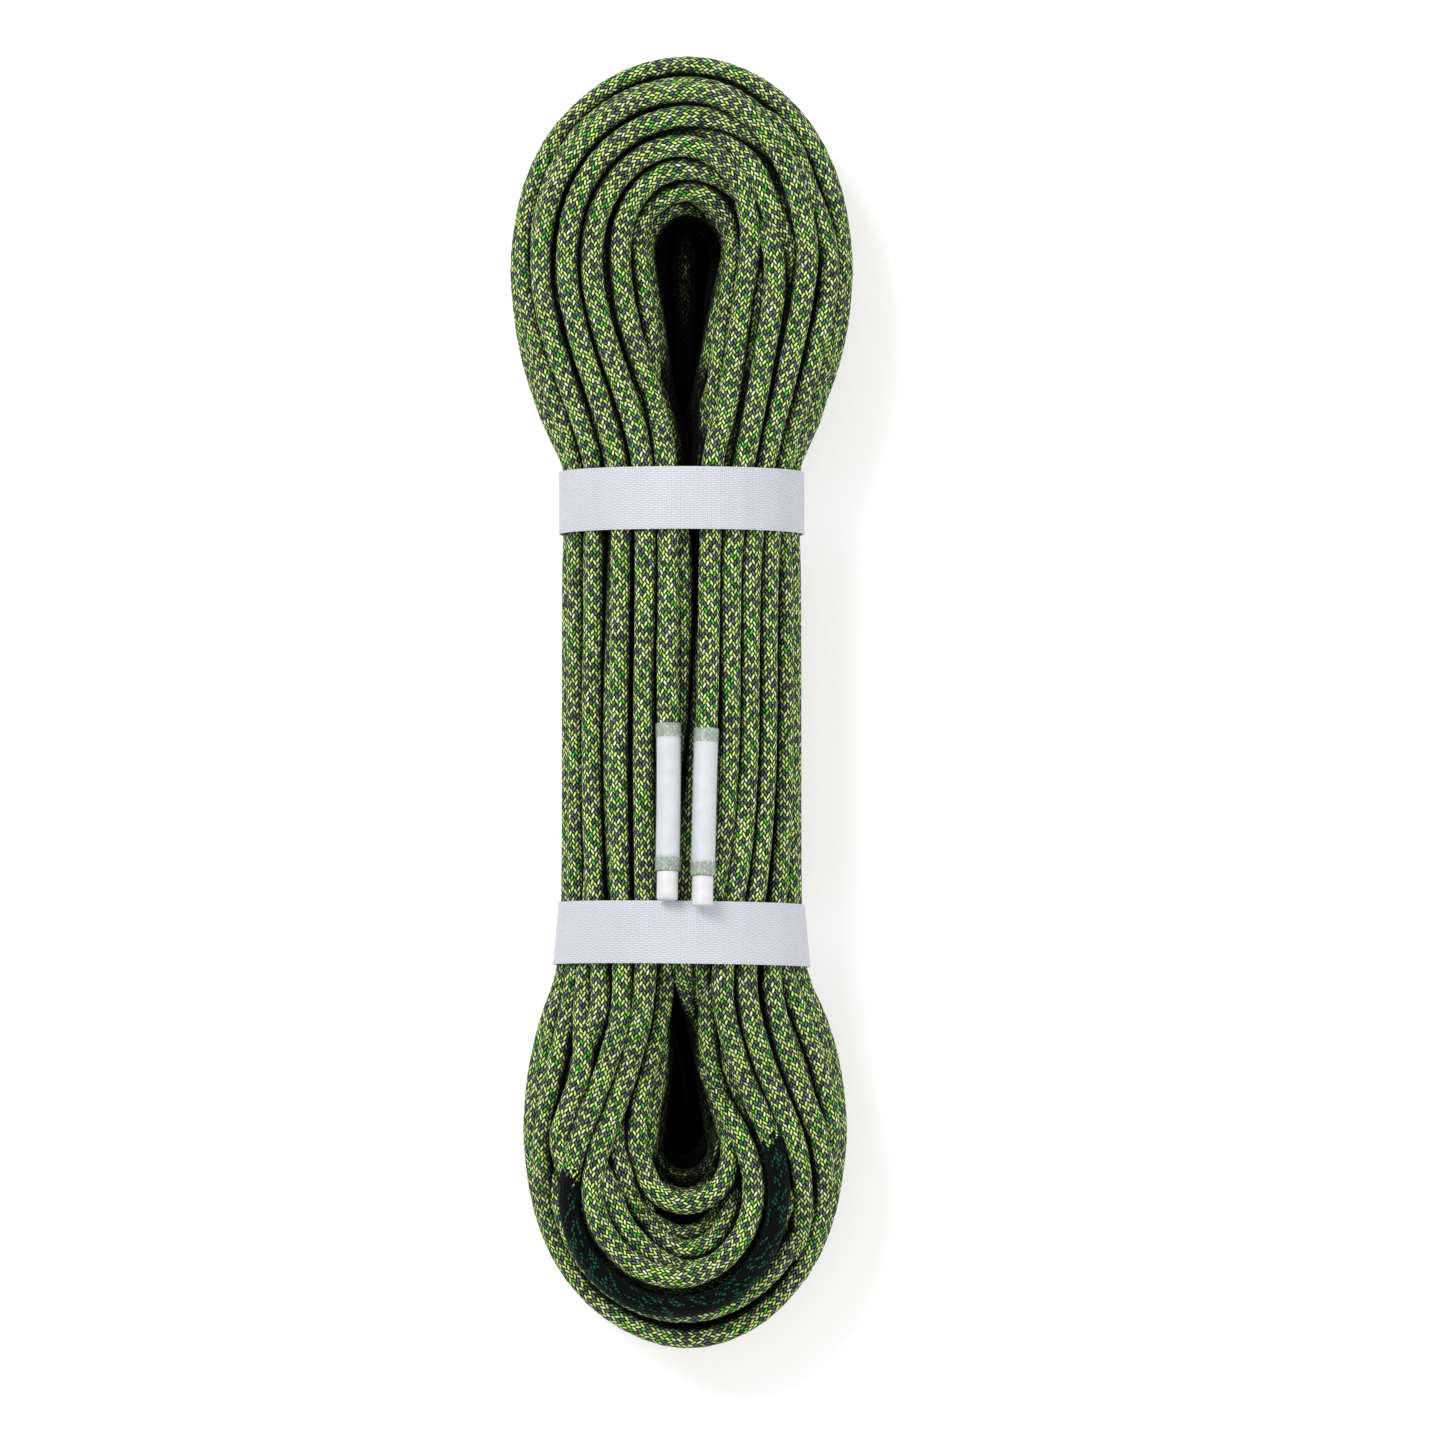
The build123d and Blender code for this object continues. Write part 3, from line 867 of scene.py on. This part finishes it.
# the two woven ribbons, welded into rings behind the hank (mm, the lap and the roll in degrees, and the
# cloud in cells to the metre)
ribbon = dict(width=13.9, thickness=0.34, halfAtTop=27.25, clear=0.1, steps=180, rows=10, edge=0.08,
              selvedge=0.06, selvedgeShare=0.08, wave=0.05, waves=(31, 17), lapFrom=200.0, lapTo=224.0,
              lapRise=6.0, upperRoll=0.0, lowerRoll=0.6, weaveStep=0.5, weaveSquash=0.8,
              tones=("D4D6DF", "E4E5EA"), between="8E92A6", betweenShadeShare=0.6, cloud=45.0)


def ribbonMaterial():
    n = Nodes("wovenRibbon")
    u, v, _ = n.split(n.coords("UV"))
    # fine twill: a thread every weaveStep along, and a little closer across
    p = n.times(u, 1 / (ribbon["weaveStep"] * mm))
    q = n.times(v, 1 / (ribbon["weaveStep"] * mm * ribbon["weaveSquash"]))
    i, j = n.math("FLOOR", p), n.math("FLOOR", q)
    step = n.math("FLOORED_MODULO", n.plus(i, n.times(j, 2.0)), 4.0)
    over = n.math("LESS_THAN", step, 1.5)
    inP = n.math("ABSOLUTE", n.minus(n.minus(p, i), 0.5))
    inQ = n.math("ABSOLUTE", n.minus(n.minus(q, j), 0.5))
    under = n.minus(1.0, over)
    across = n.plus(n.times(over, inQ), n.times(under, inP))
    crown = n.minus(1.0, n.power(n.times(across, 2.0), 2.0))
    height = n.times(crown, n.plus(0.75, n.times(over, 0.25)))
    cloud = n.noise(n.coords(), ribbon["cloud"])
    thread = n.noise(n.join(n.times(p, 0.3), n.times(q, 3.0)), 1.0)
    mottle = n.plus(n.times(cloud, 0.6), n.times(thread, 0.4))
    # painted shade: the low places between the threads turn grey-blue
    sunkShade = n.times(n.minus(1.0, height), ribbon["betweenShadeShare"])
    tone = n.mix(sunkShade, n.tones(mottle, ribbon["tones"]), colour(ribbon["between"]))
    n.bump(height, 0.09)
    return n.finish(Base_Color=tone, Roughness=0.42, Specular_IOR_Level=0.5,
                    Sheen_Weight=0.2, Sheen_Roughness=0.35)


def openRing(name, middle, width):
    # a ring of faces, in rows across the ribbon's width
    bpy.ops.mesh.primitive_cylinder_add(vertices=ribbon["steps"], radius=1, depth=width,
                                        end_fill_type="NOTHING", rotation=(math.radians(90), 0, 0),
                                        location=(0, middle.y, middle.z))
    obj = bpy.context.object
    obj.name = name
    bpy.ops.object.transform_apply(location=True, rotation=True, scale=True)
    mesh = obj.data
    bpy.ops.object.mode_set(mode="EDIT")
    bpy.ops.mesh.select_all(action="DESELECT")
    bpy.ops.object.mode_set(mode="OBJECT")
    for edge in mesh.edges:
        a, b = (mesh.vertices[v].co for v in edge.vertices)
        edge.select = abs(a.y - b.y) > width / 2
    bpy.ops.object.mode_set(mode="EDIT")
    bpy.ops.mesh.select_mode(type="EDGE")
    bpy.ops.mesh.subdivide(number_cuts=ribbon["rows"] - 1)
    bpy.ops.mesh.select_mode(type="FACE")
    bpy.ops.mesh.select_all(action="DESELECT")
    bpy.ops.object.mode_set(mode="OBJECT")
    return obj


def angleRound(co, middle):
    return math.degrees(math.atan2(co.z - middle.z, co.x)) % 360


def addLap(mesh, middle):
    # the lap: a second layer over the ring
    for face in mesh.polygons:
        face.select = ribbon["lapFrom"] < angleRound(face.center, middle) < ribbon["lapTo"]
    bpy.ops.object.mode_set(mode="EDIT")
    bpy.ops.mesh.duplicate()
    bpy.ops.object.mode_set(mode="OBJECT")
    onLap = np.zeros(len(mesh.vertices))
    onLap[[v.index for v in mesh.vertices if v.select]] = 1
    return onLap


def shapeRibbon(mesh, middle, low, high, roll, onLap):
    # round the CAD band's place, a hair inside its outer face
    thick, clear = ribbon["thickness"] * mm, ribbon["clear"] * mm
    halfAtBottom = (high[0] - low[0]) / 2 - clear - thick / 2
    halfAtTop = min(halfAtBottom, ribbon["halfAtTop"] * mm)
    tall = (high[2] - low[2]) / 2 - clear - thick / 2
    co = np.empty((len(mesh.vertices), 3))
    mesh.vertices.foreach_get("co", co.ravel())
    turn = np.degrees(np.arctan2(co[:, 2] - middle.z, co[:, 0])) % 360
    share = (high[1] - co[:, 1]) / (high[1] - low[1])
    # a woven edge is a little thicker, and the ribbon follows the turns under it by a hair
    rim = ribbon["selvedgeShare"]
    selvedge = np.where((share < rim) | (share > 1 - rim), ribbon["selvedge"] * mm, 0)
    around = np.radians(turn)
    first, second = ribbon["waves"]
    wave = ribbon["wave"] * mm * (np.sin(around * first + share * 1.3) + 0.6 * np.sin(around * second + 2))
    # the lap's first rows come down to the ring
    lapOut = onLap * thick * np.clip((turn - ribbon["lapFrom"]) / ribbon["lapRise"], 0.12, 1.06)
    out = lapOut + selvedge + wave
    half = halfAtTop + (halfAtBottom - halfAtTop) * share
    co[:, 0] = np.cos(around) * (half + out)
    co[:, 2] = middle.z + np.sin(around) * (tall + out)
    co[:, 1] += np.tan(math.radians(-roll)) * co[:, 0]
    mesh.vertices.foreach_set("co", co.ravel())
    return turn, share, 2 * math.pi * tall


def mapRibbon(mesh, middle, turn, share, girth):
    # the UV map runs along the ribbon and across it, in metres
    uv = np.empty((len(mesh.loops), 2))
    for face in mesh.polygons:
        for loop in face.loop_indices:
            v = mesh.loops[loop].vertex_index
            t = turn[v]
            if angleRound(face.center, middle) > 300 and t < 60:  # the face that closes the ring
                t += 360
            uv[loop] = (t / 360 * girth, share[v] * ribbon["width"] * mm)
    mesh.uv_layers[0].data.foreach_set("uv", uv.ravel())


def makeRibbon(name, node, roll, look):
    low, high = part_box(node)
    middle = (Vector(low) + Vector(high)) / 2
    obj = openRing(name, middle, high[1] - low[1])
    onLap = addLap(obj.data, middle)
    turn, share, girth = shapeRibbon(obj.data, middle, low, high, roll, onLap)
    mapRibbon(obj.data, middle, turn, share, girth)
    obj.data.materials.clear()
    obj.data.materials.append(look)
    modify(obj, "SOLIDIFY", thickness=ribbon["thickness"] * mm, offset=0)
    modify(obj, "BEVEL", width=ribbon["edge"] * mm, segments=2, limit_method="ANGLE")
    obj.data.shade_smooth()
    obj.select_set(False)
    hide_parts(node)
    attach(obj, "upper_band" if node == "upper_band" else "hank")


ribbonLook = ribbonMaterial()
makeRibbon("upperRibbon", "upper_band", ribbon["upperRoll"], ribbonLook)
makeRibbon("lowerRibbon", "lower_band", ribbon["lowerRoll"], ribbonLook)
print("ribbons made")


# where the camera looks (mm), from how far (m), how far it leans (degrees), and how much it sees (mm)
view = dict(aim=(9.15, -4.6, 28.0), distance=3.4, lean=2.0, frameHeight=322.5, sensor=36)
# two soft round lamps above the object, and a plain pale floor and world (m and W)
lamps = dict(keyLight=dict(place=(-0.9, 0.9, 1.7), size=0.9, power=28),
             fillLight=dict(place=(1.3, -0.4, 1.5), size=1.2, power=12))
studio = dict(floorSize=12, floorTone=0.8, floorGlow=0.38, worldLight=0.6)


def addCamera():
    data = bpy.data.cameras.new("camera")
    cam = addObject("camera", data)
    scene.camera = cam
    lean = math.radians(view["lean"])
    away = Vector((0, -math.sin(lean), math.cos(lean)))
    cam.location = Vector(view["aim"]) * mm + away * view["distance"]
    cam.rotation_euler = (lean, 0, 0)
    data.sensor_width = view["sensor"]
    data.lens = view["sensor"] * view["distance"] / (view["frameHeight"] * mm)
    data.clip_end = 50


def addLamp(name, place, size, power):
    data = bpy.data.lights.new(name, "AREA")
    data.shape = "DISK"
    data.size = size
    data.energy = power
    lamp = addObject(name, data)
    lamp.location = place
    lamp.rotation_euler = Vector(place).to_track_quat("Z", "Y").to_euler()


addCamera()
for name, lamp in lamps.items():
    addLamp(name, **lamp)
bpy.ops.mesh.primitive_plane_add(size=studio["floorSize"], location=(0, 0, 0))
floor = bpy.context.object
floor.name = "floor"
n = Nodes("paleFloor")
# it glows only where it is seen, directly or in a reflection
seen = n.new("LightPath")
shiny = n.math("MAXIMUM", seen.outputs["Is Glossy Ray"], seen.outputs["Is Transmission Ray"])
direct = n.math("MAXIMUM", seen.outputs["Is Camera Ray"], shiny)
tone = (studio["floorTone"],) * 3 + (1.0,)
n.finish(Base_Color=tone, Roughness=0.9, Emission_Color=(1.0, 1.0, 1.0, 1.0),
         Emission_Strength=n.times(direct, studio["floorGlow"]))
floor.data.materials.append(n.material)

world = bpy.data.worlds.new("world")
scene.world = world
world.use_nodes = True
background = world.node_tree.nodes["Background"]
background.inputs["Color"].default_value = (1, 1, 1, 1)
background.inputs["Strength"].default_value = studio["worldLight"]
scene.view_settings.view_transform = "Standard"
print("camera, lamps, floor and world set")
